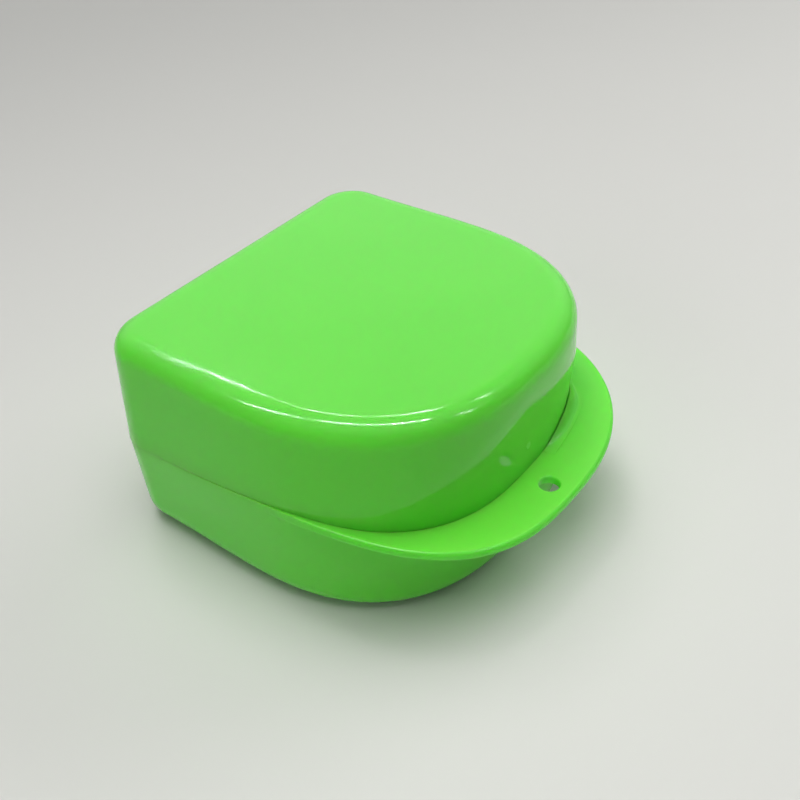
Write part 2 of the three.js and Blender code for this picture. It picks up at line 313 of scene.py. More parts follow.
class Outline:
    """The line that both mouldings follow in plan: stations anticlockwise from the right side."""

    def __init__(self, plan):
        self.plan = plan
        self.centre = Vector((0, HINGE.y - plan.back_reach, 0))
        side = [k / SIDE_STEPS for k in range(SIDE_STEPS)]
        corner = [k / CORNER_STEPS for k in range(CORNER_STEPS + 1)]
        self.stations = [("side", 1, step) for step in side]
        self.stations += [("corner", 1, step) for step in corner]
        self.stations += [("back", 1, 1 - 2 * k / BACK_STEPS) for k in range(1, BACK_STEPS)]
        self.stations += [("corner", -1, 1 - step) for step in corner]
        self.stations += [("side", -1, step) for step in reversed(side[1:])]
        self.stations += [("front", 1, k / FRONT_STEPS) for k in range(FRONT_STEPS)]

    def spot(self, station, inset, reach):
        """The point of the outline at a station, set inwards, with its front at the given reach."""
        plan = self.plan
        part, side, step = station
        half = plan.half_width - inset
        if part == "front":
            return superellipse(math.pi * (1 + step), half, reach - inset, plan.front_power)
        back_half = plan.back_half_width - inset
        back = plan.back_reach - inset
        radius = max(plan.corner_radius - inset, LEAST_RADIUS)
        if part == "side":
            return Vector((side * lerp(half, back_half, smooth(step)), (back - radius) * step))
        if part == "corner":
            turn = step * math.pi / 2
            x = back_half - radius + radius * math.cos(turn)
            return Vector((side * x, back - radius + radius * math.sin(turn)))
        return Vector(((back_half - radius) * step, back))

    def ring(self, insets, heights, reach):
        """One place for each station. The heights are one for each station, or a function of x and y."""
        places = []
        for index, station in enumerate(self.stations):
            spot = self.spot(station, insets[index], reach)
            if callable(heights):
                level = heights(spot.x, spot.y)
            else:
                level = heights[index]
            places.append(Vector((spot.x, spot.y, level)))
        return places

    def seam(self, x, y):
        """Height of the seam over a point of the plan."""
        plan = self.plan
        level = smooth((y + plan.seam_fall_start) / (plan.back_reach + plan.seam_fall_start))
        arch = lerp(plan.seam_front, plan.seam_shoulder, (x / plan.half_width) ** 2)
        return lerp(arch, plan.seam_back, level)


def shrunk(ring, to_share):
    """A flat ring drawn in towards its own middle."""
    middle = sum(ring, Vector()) / len(ring)
    return [middle.lerp(place, to_share) for place in ring]


def between(ring, other, t):
    """The ring that lies a share t of the way from one ring to another."""
    return [a.lerp(b, t) for a, b in zip(ring, other)]


# Meshes

def skin_rings(bm, rings):
    """Lays a circle on the first ring, extrudes it through the others and closes both ends."""
    ring = bmesh.ops.create_circle(bm, segments=len(rings[0]), radius=MM)["verts"]
    edges = list({edge for vert in ring for edge in vert.link_edges})
    ends = [ring]
    for vert, place in zip(ring, rings[0]):
        vert.co = place
    for places in rings[1:]:
        made = bmesh.ops.extrude_edge_only(bm, edges=edges)["geom"]
        fresh = {item for item in made if isinstance(item, bmesh.types.BMVert)}
        following = []
        for vert in ring:
            twins = [edge.other_vert(vert) for edge in vert.link_edges]
            following.append(next(twin for twin in twins if twin in fresh))
        for vert, place in zip(following, places):
            vert.co = place
        edges = [
            item for item in made
            if isinstance(item, bmesh.types.BMEdge) and all(vert in fresh for vert in item.verts)
        ]
        ring = following
    ends.append(ring)
    for end in ends:
        middle = sum((vert.co for vert in end), Vector()) / len(end)
        bmesh.ops.pointmerge(bm, verts=end, merge_co=middle)
    bmesh.ops.remove_doubles(bm, verts=bm.verts, dist=JOIN_DISTANCE)
    bmesh.ops.recalc_face_normals(bm, faces=bm.faces)


def add_bar(bm, radius, bar_length, centre, bevel=0.0):
    """A round bar along X, with bevelled ends where a bevel is given."""
    turn = Matrix.Translation(centre) @ Matrix.Rotation(math.pi / 2, 4, "Y")
    made = bmesh.ops.create_cone(
        bm, cap_ends=True, segments=ROUND_STEPS, radius1=radius, radius2=radius, depth=bar_length,
        matrix=turn
    )["verts"]
    if bevel:
        rims = {
            edge for vert in made for edge in vert.link_edges
            if abs(edge.verts[0].co.x - edge.verts[1].co.x) < JOIN_DISTANCE
        }
        bmesh.ops.bevel(
            bm, geom=list(rims), offset=bevel, offset_type="OFFSET", affect="EDGES",
            segments=END_STEPS, profile=0.5, material=-1
        )


def add_skin(bm, rings):
    """A closed body skinned over rings, added to a mesh that may hold others."""
    tool = bmesh.new()
    skin_rings(tool, rings)
    mesh = bpy.data.meshes.new("skin")
    tool.to_mesh(mesh)
    tool.free()
    bm.from_mesh(mesh)
    bpy.data.meshes.remove(mesh)


def add_lathe(bm, profile, centre, axis):
    """A closed body turned round an axis from a profile of (distance along the axis, radius)."""
    turn = axis.to_track_quat("Z", "Y").to_matrix().to_4x4()
    rings = []
    for along, radius in profile:
        ring = []
        for k in range(ROUND_STEPS):
            angle = 2 * math.pi * k / ROUND_STEPS
            spot = Vector((radius * math.cos(angle), radius * math.sin(angle), along))
            ring.append(centre + turn @ spot)
        rings.append(ring)
    add_skin(bm, [shrunk(rings[0], LATHE_CAP_SHARE)] + rings + [shrunk(rings[-1], LATHE_CAP_SHARE)])


def ear_ring(x, inset, hinge, plan, tray):
    """Outline of an ear at a place along the hinge: a round on the axis, and a gusset down the wall."""
    radius = hinge.knuckle_radius - inset
    low = inset - hinge.gusset_drop
    inner = Vector((0, inset - plan.wall / 2, low))
    outer = Vector((0, -inset - tray.draft * hinge.gusset_drop, low))
    first = math.atan2(outer.z, outer.y) + math.acos(radius / outer.length)
    last = math.atan2(inner.z, inner.y) - math.acos(radius / inner.length) + 2 * math.pi
    centre = Vector((x, plan.back_reach, HINGE.z))
    ring = []
    for k in range(ROUND_STEPS + 1):
        turn = lerp(first, last, k / ROUND_STEPS)
        ring.append(centre + Vector((0, radius * math.cos(turn), radius * math.sin(turn))))
    return ring + [centre + inner, centre + outer]


def add_ear(bm, side, hinge, plan, tray):
    """An ear of the tray, with rounded ends."""
    middle = side * (hinge.knuckle_length / 2 + hinge.gap + hinge.ear_length / 2)
    bevel = hinge.end_bevel
    rings = []
    turns = quarter_turns(END_STEPS)
    for end, turn in [(-1, turn) for turn in turns] + [(1, turn) for turn in reversed(turns)]:
        x = middle + end * (hinge.ear_length / 2 - bevel * (1 - math.cos(turn)))
        rings.append(ear_ring(x, bevel * (1 - math.sin(turn)), hinge, plan, tray))
    add_skin(bm, [shrunk(rings[0], EAR_CAP_SHARE)] + rings + [shrunk(rings[-1], EAR_CAP_SHARE)])


def tool_object(name, build):
    """A spare object that a Boolean reads."""
    bm = bmesh.new()
    build(bm)
    mesh = bpy.data.meshes.new(name)
    bm.to_mesh(mesh)
    bm.free()
    thing = bpy.data.objects.new(name, mesh)
    bpy.context.scene.collection.objects.link(thing)
    return thing


def moulding(name, rings, steps, centre):
    """A shell from its rings, joined with and cut by the tools in order, as one finished mesh."""
    shell = tool_object(name + "_rough", lambda bm: skin_rings(bm, rings))
    tools = []
    for index, (operation, build) in enumerate(steps):
        tool = tool_object(f"{name}_tool_{index}", build)
        tools.append(tool)
        modifier = shell.modifiers.new(f"step_{index}", "BOOLEAN")
        modifier.operation = operation
        modifier.solver = "MANIFOLD"
        modifier.object = tool
    graph = bpy.context.evaluated_depsgraph_get()
    mesh = bpy.data.meshes.new_from_object(shell.evaluated_get(graph), depsgraph=graph)
    for spare in [shell] + tools:
        data = spare.data
        bpy.data.objects.remove(spare)
        bpy.data.meshes.remove(data)
    if not mesh.polygons:
        raise RuntimeError(f"the Booleans of {name} left nothing")
    mesh.transform(Matrix.Translation(centre))
    mesh.name = name
    mesh.polygons.foreach_set("use_smooth", [True] * len(mesh.polygons))
    mesh.set_sharp_from_angle(angle=SMOOTH_ANGLE)
    mesh.materials.clear()
    mesh.materials.append(plastic_material())
    piece = bpy.data.objects.new(name, mesh)
    bpy.context.scene.collection.objects.link(piece)
    return piece


# Lid

def scoop_edge(outline, lid, station):
    """Height of the scoop's arch at a station. It runs out below the seam along sides and back."""
    plan = outline.plan
    spot = outline.spot(station, 0, plan.front_reach)
    across = abs(spot.x - lid.scoop_shift) if station[0] == "front" else plan.half_width
    fall = (across / lid.scoop_half_width) ** lid.scoop_power
    return lid.scoop_top - (lid.scoop_top - lid.scoop_end) * fall - max(spot.y, 0) / 2


def scoop_edges(outline, lid):
    """Height of the scoop's arch at each station."""
    return [scoop_edge(outline, lid, station) for station in outline.stations]


def lid_depth(outline, lid, edge, z):
    """How far the lid's outside lies in from the outline at a height, over or under the arch."""
    lean = lid.scoop_lean * soft_over(edge - z, lid.crease_softness)
    return lid.draft * (z - outline.plan.seam_back) + lean


def gate_place(case):
    """Where the small moulding gate is, in the frame of the part."""
    outline = Outline(case.plan)
    depth = lid_depth(outline, case.lid, case.lid.scoop_top, case.lid.gate_height)
    return outline.centre + Vector((0, depth - case.plan.front_reach, case.lid.gate_height))


def foot_depth(outline, lid, station):
    """How far the lid's foot lies in from the outline at a station."""
    spot = outline.spot(station, 0, outline.plan.front_reach)
    return lid_depth(outline, lid, scoop_edge(outline, lid, station), outline.seam(spot.x, spot.y))


def foot_depths(outline, lid):
    """How far the lid's foot lies in from the outline at each station."""
    return [foot_depth(outline, lid, station) for station in outline.stations]


def add_ledge(bm, outline, lid, ledge):
    """A low ledge on the flange with a hollow top, along the right half of the lid's front foot."""
    plan = outline.plan
    power = plan.front_power
    rings = []

    def place(spot, over):
        return Vector((spot.x, spot.y, outline.seam(spot.x, spot.y) + over))

    for k in range(LEDGE_STEPS + 1):
        x = lerp(ledge.start, ledge.end, k / LEDGE_STEPS)
        y = ledge.reach * (1 - (x / ledge.half_width) ** power) ** (1 / power)
        station = ("front", 1, 1 - math.atan2(y, x) / math.pi)
        foot = outline.spot(station, foot_depth(outline, lid, station), plan.front_reach)
        along = x - ledge.start
        started = lerp(LEDGE_EDGE_START_SHARE, 1, smooth(along / LEDGE_EDGE_RUN))
        ended = smooth(along / (ledge.end - ledge.start) * LEDGE_EDGE_FADE)
        height = ledge.height * started * lerp(1, LEDGE_EDGE_END_SHARE, ended)
        narrow = smooth((x - ledge.fade) / (ledge.end - ledge.fade))
        climb = lerp(LEDGE_CLIMB_START_SHARE, 1, smooth(along / LEDGE_CLIMB_RUN))
        rise = ledge.rise * climb * lerp(1, LEDGE_CLIMB_END_SHARE, narrow)
        clear = LEDGE_PLAY + LEDGE_LEAN_SHARE * lid.scoop_lean * rise
        inner = foot * (1 + clear / foot.length)
        edge = Vector((x, -y)).lerp(inner, LEDGE_NARROW_SHARE * narrow)
        ring = [place(inner, -LEDGE_SINK), place(edge, -LEDGE_SINK), place(edge, height * LEDGE_TOE_SHARE)]
        for j in range(1, LEDGE_FACE_STEPS + 1):
            t = (j / LEDGE_FACE_STEPS) ** CROWDING_POWER
            ring.append(place(edge.lerp(inner, t), height + (rise - height) * t ** LEDGE_HOLLOW_POWER))
        rings.append(ring)
    add_skin(bm, rings)


def lid_side(outline, lid, inset, lows):
    """Rings of one face of the lid, from the given low heights up to the flat of the top."""
    plan = outline.plan
    edges = scoop_edges(outline, lid)
    radius = lid.edge_radius - inset
    top = plan.height - inset
    wall_top = top - radius
    creases = []
    for edge, low in zip(edges, lows):
        creases.append(low + SCOOP_LEAST + soft_over(edge - low - SCOOP_LEAST, SCOOP_LEAST))
    levels = []
    for k in range(1, SCOOP_STEPS + 1):
        step = 1 - (1 - k / SCOOP_STEPS) ** CROWDING_POWER
        levels.append([lerp(low, crease, step) for low, crease in zip(lows, creases)])
    for k in range(1, WALL_STEPS + 1):
        step = (k / WALL_STEPS) ** CROWDING_POWER
        levels.append([lerp(crease, wall_top, step) for crease in creases])
    rings = []
    for heights in levels:
        depths = [inset + lid_depth(outline, lid, edge, z) for edge, z in zip(edges, heights)]
        rings.append(outline.ring(depths, heights, plan.front_reach))
    for turn, flat_steps in edge_steps():
        extra = radius * (1 - math.cos(turn)) + flat_steps * radius * FLAT_STEP_SHARE
        z = top - radius * (1 - math.sin(turn))
        depths = [inset + extra + lid_depth(outline, lid, edge, z) for edge in edges]
        rings.append(outline.ring(depths, [z] * len(depths), plan.front_reach))
    return rings + [shrunk(rings[-1], part) for part in CAP_SHARES]


def lid_rings(outline, lid, tray):
    """Rings of the lid's closed shell: ceiling, inside, rebate, foot, scoop, wall, rounded edge, top."""
    plan = outline.plan
    feet = foot_depths(outline, lid)
    skirt = [foot + lid.skirt for foot in feet]

    def at_rebate(x, y):
        return outline.seam(x, y) + tray.tongue_height + tray.tongue_gap

    def at_foot(x, y):
        return outline.seam(x, y) + plan.seam_gap

    rebate = outline.ring([foot + plan.wall for foot in feet], at_rebate, plan.front_reach)
    lows = [place.z for place in rebate]
    rings = list(reversed(lid_side(outline, lid, plan.wall, lows)))
    edges = scoop_edges(outline, lid)
    depths = [plan.wall + lid_depth(outline, lid, edge, z) for edge, z in zip(edges, lows)]
    rings.append(outline.ring(depths, lows, plan.front_reach))
    rings.append(outline.ring(skirt, at_rebate, plan.front_reach))
    rings.append(outline.ring(skirt, at_foot, plan.front_reach))
    for turn in quarter_turns(EDGE_STEPS):
        inward = [foot + plan.seam_round * (1 - math.sin(turn)) for foot in feet]
        rise = plan.seam_round * (1 - math.cos(turn))
        rings.append(outline.ring(inward, lambda x, y: at_foot(x, y) + rise, plan.front_reach))
    return rings + lid_side(outline, lid, 0, [place.z for place in rings[-1]])


# Tray

def tray_depth(outline, tray, z):
    """How far the tray's outside lies in from its outline at a height."""
    over = soft_over(outline.plan.seam_back - z + DRAFT_START, DRAFT_SOFTNESS)
    return tray.draft * (over - DRAFT_START)


def tray_wall(outline, tray, heights, inset, reach):
    """Ring of the tray's wall at one height for each station."""
    depths = [inset + tray_depth(outline, tray, z) for z in heights]
    return outline.ring(depths, heights, reach)


def tray_inside(outline, tray, seams, reach):
    """Rings of the tray's floor, inner fillet and inner wall, up to the root of the tongue."""
    plan = outline.plan
    count = len(seams)
    radius = tray.edge_radius - plan.wall
    start = plan.wall + tray_depth(outline, tray, plan.wall) + radius * FLOOR_START_SHARE
    flat = outline.ring([start] * count, [plan.wall] * count, reach)
    rings = [shrunk(flat, part) for part in reversed(CAP_SHARES)] + [flat]
    for turn in quarter_turns(FILLET_STEPS):
        z = plan.wall + radius * (1 - math.cos(turn))
        depth = plan.wall + tray_depth(outline, tray, z) + radius * (1 - math.sin(turn))
        rings.append(outline.ring([depth] * count, [z] * count, reach))
    low = plan.wall + radius
    for k in range(1, HOLLOW_STEPS + 1):
        heights = [lerp(low, seam - TONGUE_ROOT_DROP, k / HOLLOW_STEPS) for seam in seams]
        rings.append(tray_wall(outline, tray, heights, plan.wall, reach))
    return rings


def tongue_rings(outline, lid, tray, last_wall, reach):
    """Rings of the tongue from the last ring of the inner wall: inner face, rounded top, outer face."""
    plan = outline.plan
    feet = foot_depths(outline, lid)
    inner = [foot + plan.wall for foot in feet]
    outer = [foot + lid.skirt + tray.tongue_gap for foot in feet]
    base = outline.ring(inner, outline.seam, plan.front_reach)
    rings = []
    for k in range(1, HOLLOW_STEPS + 1):
        step = k / HOLLOW_STEPS
        ring = between(last_wall, base, step)
        hollow = tray_wall(outline, tray, [place.z for place in ring], plan.wall, reach)
        upright = [Vector((b.x, b.y, a.z)) for a, b in zip(ring, base)]
        rings.append(between(hollow, upright, smooth(step)))

    def top_ring(depths, shift, drop):
        def height(x, y):
            return outline.seam(x, y) + tray.tongue_height - drop
        return outline.ring([depth + shift for depth in depths], height, plan.front_reach)

    for turn in quarter_turns(EDGE_STEPS):
        shift = TONGUE_ROUND * (1 - math.cos(turn))
        rings.append(top_ring(inner, -shift, TONGUE_ROUND * (1 - math.sin(turn))))
    for turn in quarter_turns(EDGE_STEPS):
        shift = TONGUE_ROUND * (1 - math.sin(turn))
        rings.append(top_ring(outer, shift, TONGUE_ROUND * (1 - math.cos(turn))))
    rings.append(outline.ring(outer, outline.seam, plan.front_reach))
    return rings


def flange_plan(outline, tray, walls):
    """Where the flange's rim is at each station, and its root on the wall below."""
    rims = []
    roots = []
    for station, spot in zip(outline.stations, walls):
        seam = outline.seam(spot.x, spot.y)
        rim = wall = outline.spot(station, tray_depth(outline, tray, seam), tray.front_reach)
        if station[0] == "front":
            angle = math.pi * (1 + station[2])
            rim = superellipse(angle, outline.plan.half_width, tray.flange_reach, tray.flange_power)
        rims.append(rim if rim.length > wall.length else wall)
        depth = tray_depth(outline, tray, seam - tray.flange_thickness)
        roots.append(outline.spot(station, depth, tray.front_reach))
    return rims, roots


def flange_rings(outline, tray, walls, foot_ring):
    """Rings of the flange from the foot of the tongue: upper face, rounded rim, underside, fillet."""
    rims, roots = flange_plan(outline, tray, walls)
    indices = range(len(rims))
    outward = [spot.normalized() for spot in walls]
    widths = [(rim - root).length for rim, root in zip(rims, roots)]
    spread = [smooth((width - FLANGE_LEAST) / FLANGE_FADE) for width in widths]
    upper_round = [lerp(outline.plan.seam_round, tray.flange_round, part) for part in spread]
    under_round = [UNDER_ROUND * part for part in spread]
    fillet = [min(tray.root_radius, width / 2) * part for width, part in zip(widths, spread)]

    def rim_spot(index, back):
        return rims[index] - outward[index] * back

    def over(spot, drop):
        return Vector((spot.x, spot.y, outline.seam(spot.x, spot.y) - drop))

    def under(spot, rise):
        return Vector((spot.x, spot.y, outline.seam(spot.x, spot.y) - tray.flange_thickness + rise))

    rings = []
    inner_edge = [over(rim_spot(index, upper_round[index]), 0) for index in indices]
    for k in range(1, FLANGE_STEPS):
        rings.append([over(spot, 0) for spot in between(foot_ring, inner_edge, k / FLANGE_STEPS)])
    for turn in quarter_turns(RIM_STEPS):
        ring = []
        for index in indices:
            back = upper_round[index] * (1 - math.sin(turn))
            drop = upper_round[index] * (1 - math.cos(turn))
            ring.append(over(rim_spot(index, back), drop))
        rings.append(ring)
    for turn in quarter_turns(RIM_STEPS):
        ring = []
        for index in indices:
            back = under_round[index] * (1 - math.cos(turn))
            rise = under_round[index] * (1 - math.sin(turn))
            apart = smooth((widths[index] - UNDER_LEAST) / UNDER_FADE)
            ring.append(under(roots[index].lerp(rim_spot(index, back), apart), rise))
        rings.append(ring)
    starts = rings[-1]
    for k in range(1, ROOT_STEPS + 1):
        ring = []
        for index in indices:
            edge = roots[index] + outward[index] * fillet[index]
            ring.append(under(starts[index].xy.lerp(edge, k / ROOT_STEPS), 0))
        rings.append(ring)
    for turn in quarter_turns(ROOT_STEPS)[1:]:
        ring = []
        for index in indices:
            away = fillet[index] * (1 - math.sin(turn))
            drop = fillet[index] * (1 - math.cos(turn))
            ring.append(under(roots[index] + outward[index] * away, -drop))
        rings.append(ring)
    return rings


def tray_outside(outline, tray, highs):
    """Rings of the tray's outer wall, rounded bottom edge and underside."""
    count = len(highs)
    radius = tray.edge_radius
    rings = []
    for k in range(1, WALL_STEPS + 1):
        heights = [lerp(high, radius, k / WALL_STEPS) for high in highs]
        rings.append(tray_wall(outline, tray, heights, 0, tray.front_reach))
    for turn, flat_steps in edge_steps():
        z = radius * (1 - math.sin(turn))
        depth = tray_depth(outline, tray, z) + radius * (1 - math.cos(turn))
        depth += flat_steps * radius * FLAT_STEP_SHARE
        rings.append(outline.ring([depth] * count, [z] * count, tray.front_reach))
    return rings + [shrunk(rings[-1], part) for part in CAP_SHARES]


def tray_rings(outline, lid, tray):
    """Rings of the tray's closed shell: floor, inside, tongue, flange, wall, rounded edge, underside."""
    walls = [outline.spot(station, 0, tray.front_reach) for station in outline.stations]
    seams = [outline.seam(spot.x, spot.y) for spot in walls]
    reach = min(tray.front_reach, outline.plan.front_reach - max(foot_depths(outline, lid)))
    rings = tray_inside(outline, tray, seams, reach)
    rings += tongue_rings(outline, lid, tray, rings[-1], reach)
    rings += flange_rings(outline, tray, walls, rings[-1])
    return rings + tray_outside(outline, tray, [place.z for place in rings[-1]])


def bead_place(outline, lid, tray, hinge):
    """The middle of the catch bead on the tongue, seen from the plan centre."""
    plan = outline.plan
    face = plan.front_reach - max(foot_depths(outline, lid)) - lid.skirt - tray.tongue_gap
    z = plan.seam_front + tray.tongue_height - hinge.bead_drop
    return Vector((0, -(face - hinge.bead_radius + hinge.bead_proud), z))


# Finishes

class Signal:
    """A node's output on which sums are written as plain expressions."""

    def __init__(self, nodes, socket):
        self.nodes = nodes
        self.socket = socket

    def sum_with(self, operation, first, second):
        return self.nodes.add("ShaderNodeMath", {"operation": operation}, {0: first, 1: second})

    def __add__(self, other):
        return self.sum_with("ADD", self, other)

    def __radd__(self, other):
        return self.sum_with("ADD", other, self)

    def __mul__(self, other):
        return self.sum_with("MULTIPLY", self, other)

    def __rmul__(self, other):
        return self.sum_with("MULTIPLY", other, self)


class Nodes:
    """The nodes of one material or world."""

    def __init__(self, owner):
        owner.use_nodes = True
        self.tree = owner.node_tree
        self.tree.nodes.clear()

    def add(self, kind, settings=None, values=None, output=0):
        """A node of a type, with its settings and the values or links of its sockets. Gives one output."""
        node = self.tree.nodes.new(kind)
        for name, value in (settings or {}).items():
            setattr(node, name, value)
        for name, value in (values or {}).items():
            if isinstance(value, Signal):
                self.tree.links.new(value.socket, node.inputs[name])
            else:
                node.inputs[name].default_value = value
        return Signal(self, node.outputs[output]) if node.outputs else None

    def noise(self, where, scale, detail, distortion=0.0):
        """Noise of a scale, with so many finer layers."""
        values = {"Vector": where, "Scale": scale, "Detail": detail, "Distortion": distortion}
        return self.add("ShaderNodeTexNoise", {"noise_dimensions": "3D"}, values)

    def mix(self, factor, a, b):
        """A colour that fades from one to another."""
        ends = {"Factor": factor, "A": a, "B": b}
        return self.add("ShaderNodeMix", {"data_type": "RGBA"}, ends, "Result")

    def ramp(self, value, start, end, low=0.0, high=1.0):
        """Climbs evenly from low to high while a value runs from start to end."""
        ends = {"Value": value, "From Min": start, "From Max": end, "To Min": low, "To Max": high}
        return self.add("ShaderNodeMapRange", None, ends)

    def fade(self, value, start, end, low=0.0, high=1.0):
        """The same climb with gentle ends."""
        ends = {"Value": value, "From Min": start, "From Max": end, "To Min": low, "To Max": high}
        return self.add("ShaderNodeMapRange", {"interpolation_type": "SMOOTHSTEP"}, ends)


def tinted(colour, factor):
    """A colour made lighter or darker, with full alpha."""
    return tuple(min(channel * factor, 1) for channel in colour) + (1,)


def plastic_material():
    """Glossy injection-moulded polypropylene: faint flow marks, orange peel, hairline scuffs."""
    name = "green_polypropylene_gloss"
    if name in bpy.data.materials:
        return bpy.data.materials[name]
    case = bpy.context.scene.denture_case
    colour = case.finish.plastic
    material = bpy.data.materials.new(name)
    nodes = Nodes(material)
    where = nodes.add("ShaderNodeTexCoord", output="Object")
    flow = nodes.noise(where, scale=28, detail=2, distortion=0.6)
    peel = nodes.noise(where, scale=420, detail=1)
    cloud = nodes.noise(where, scale=90, detail=3)

    # Hairline scuffs: noise drawn out along one direction
    turned = {"Vector": where, "Rotation": (0.3, 0.2, 0.9), "Scale": (2600, 110, 400)}
    stretched = nodes.add("ShaderNodeMapping", {"vector_type": "POINT"}, turned)
    scuffs = nodes.ramp(nodes.noise(stretched, scale=1, detail=2), start=0.66, end=0.74)

    # Upper faces at the height of the flange, which are duller, and paler in colour as a painted sheen
    height = nodes.add("ShaderNodeSeparateXYZ", None, {"Vector": where}, "Z")
    facing = nodes.add("ShaderNodeTexCoord", output="Normal")
    upward = nodes.add("ShaderNodeSeparateXYZ", None, {"Vector": facing}, "Z")
    shelf_and_sheen = nodes.ramp(upward, start=0.9, end=0.98)
    shelf_and_sheen = shelf_and_sheen * nodes.ramp(height, start=15.5 * MM, end=17 * MM)
    shelf_and_sheen = shelf_and_sheen * nodes.ramp(height, start=30 * MM, end=29 * MM)

    # Painted sheen: a pale patch round the moulding gate, standing in for the lighter reflection of the
    # gate's face
    ends = {0: where, 1: gate_place(case)}
    apart = nodes.add("ShaderNodeVectorMath", {"operation": "DISTANCE"}, ends, "Value")
    painted_gate_sheen = nodes.fade(apart, start=case.lid.gate_radius * 1.3, end=case.lid.gate_radius * 0.6)

    tone = nodes.mix(flow, tinted(colour, 0.96), tinted(colour, 1.04))
    # Painted sheen: a paler colour on the flange's upper faces stands in for a whitish reflection
    tone = nodes.mix(shelf_and_sheen, tone, (colour[0] + 0.03, colour[1] + 0.03, colour[2], 1))
    # Painted sheen round the moulding gate
    tone = nodes.mix(painted_gate_sheen, tone, tuple(channel + 0.05 for channel in colour) + (1,))
    relief = {"Height": peel * 0.35 + cloud * 0.65, "Strength": 0.12, "Distance": 0.12 * MM}
    shader = nodes.add(
        "ShaderNodeBsdfPrincipled", {"subsurface_method": "RANDOM_WALK"},
        {
            "Base Color": tone,
            "Roughness": 0.07 + 0.05 * cloud + 0.05 * scuffs + 0.5 * shelf_and_sheen,
            "Normal": nodes.add("ShaderNodeBump", None, relief, "Normal"),
            "IOR": 1.49,
            "Specular IOR Level": 0.3,
            "Subsurface Weight": 0.8,
            "Subsurface Radius": (0.5, 1.0, 0.4),
            "Subsurface Scale": 3 * MM,
        }
    )
    nodes.add("ShaderNodeOutputMaterial", None, {"Surface": shader})
    return material


# Stage

def floor_material():
    """Pale matt floor, with painted shade that darkens it towards the back, where the light falls off."""
    colour = bpy.context.scene.denture_case.finish.floor
    material = bpy.data.materials.new("pale_floor")
    nodes = Nodes(material)
    where = nodes.add("ShaderNodeTexCoord", output="Object")
    grain = nodes.noise(where, scale=6, detail=2)
    tone = nodes.mix(grain, tinted(colour, 0.98), tinted(colour, 1.02))
    across = nodes.add("ShaderNodeSeparateXYZ", None, {"Vector": where}, "X")
    along = nodes.add("ShaderNodeSeparateXYZ", None, {"Vector": where}, "Y")
    # Painted shade: the floor's colour darkens towards the back, standing in for the falloff of the light
    fall = nodes.fade(across * 0.32 + along * 0.89, start=-0.08, end=0.38)
    tone = nodes.mix(fall, tone, tinted(colour, 0.6))
    matt = {"Base Color": tone, "Roughness": 0.6, "Specular IOR Level": 0.2}
    shader = nodes.add("ShaderNodeBsdfPrincipled", None, matt)
    nodes.add("ShaderNodeOutputMaterial", None, {"Surface": shader})
    return material


def studio_world():
    """Even pale surroundings, and for reflections a ceiling that glows overhead and towards the back."""
    world = bpy.data.worlds.new("studio")
    nodes = Nodes(world)
    light = nodes.add("ShaderNodeBackground", None, {"Color": (1, 1, 1, 1), "Strength": 0.075})
    seen = nodes.add("ShaderNodeBackground", None, {"Color": (0.68, 0.68, 0.66, 1), "Strength": 1})
    where = nodes.add("ShaderNodeTexCoord", output="Generated")
    ends = {0: where, 1: (0.33, 0.26, 0.906)}
    rise = nodes.add("ShaderNodeVectorMath", {"operation": "DOT_PRODUCT"}, ends, "Value")
    glow = nodes.fade(rise, start=0.15, end=0.85, low=0.27, high=1.4)
    ceiling = nodes.add("ShaderNodeBackground", None, {"Color": (1, 1, 1, 1), "Strength": glow})
    camera_ray = nodes.add("ShaderNodeLightPath", output="Is Camera Ray")
    glossy_ray = nodes.add("ShaderNodeLightPath", output="Is Glossy Ray")
    plain = nodes.add("ShaderNodeMixShader", None, {0: camera_ray, 1: light, 2: seen})
    mixed = nodes.add("ShaderNodeMixShader", None, {0: glossy_ray, 1: plain, 2: ceiling})
    nodes.add("ShaderNodeOutputWorld", None, {"Surface": mixed})
    return world


def rectangle_lamp(name, size, watts):
    """A lamp with the shape of a rectangle, linked to the scene."""
    data = bpy.data.lights.new(name, "AREA")
    data.shape = "RECTANGLE"
    data.size, data.size_y = size
    data.energy = watts
    lamp = bpy.data.objects.new(name, data)
    bpy.context.scene.collection.objects.link(lamp)
    return lamp


def place_panel(name, place, size, watts):
    """A soft panel turned to the case. Reflections show the ceiling's glow in its stead."""
    lamp = rectangle_lamp(name, size, watts)
    lamp.location = place
    lamp.rotation_euler = (Vector(LOOK_AT) - Vector(place)).to_track_quat("-Z", "Y").to_euler()
    lamp.visible_glossy = False


def place_tube(name, start, end, watts):
    """A thin tube of the ceiling between two points in plan, seen in reflections only."""
    a, b = (Vector((x, y, TUBE_HEIGHT)) for x, y in (start, end))
    lamp = rectangle_lamp(name, ((b - a).length, TUBE_WIDTH), watts * (b - a).length)
    along = (b - a).normalized()
    turn = Matrix((along, Vector((0, 0, 1)).cross(along), Vector((0, 0, 1)))).transposed().to_4x4()
    lamp.matrix_world = Matrix.Translation((a + b) / 2) @ turn
    lamp.visible_diffuse = False


class CameraView:
    """Where the photograph was taken from, in the frame of the part."""

    azimuth = math.radians(-51.9215)
    elevation = math.radians(37.6814)
    roll = math.radians(-2.3582)
    distance = 232.4835 * MM
    target = Vector((3.7657 * MM, -0.2458 * MM, 20 * MM))
    lens = 51.192
    sensor_width = 36
    near_limit = 10 * MM


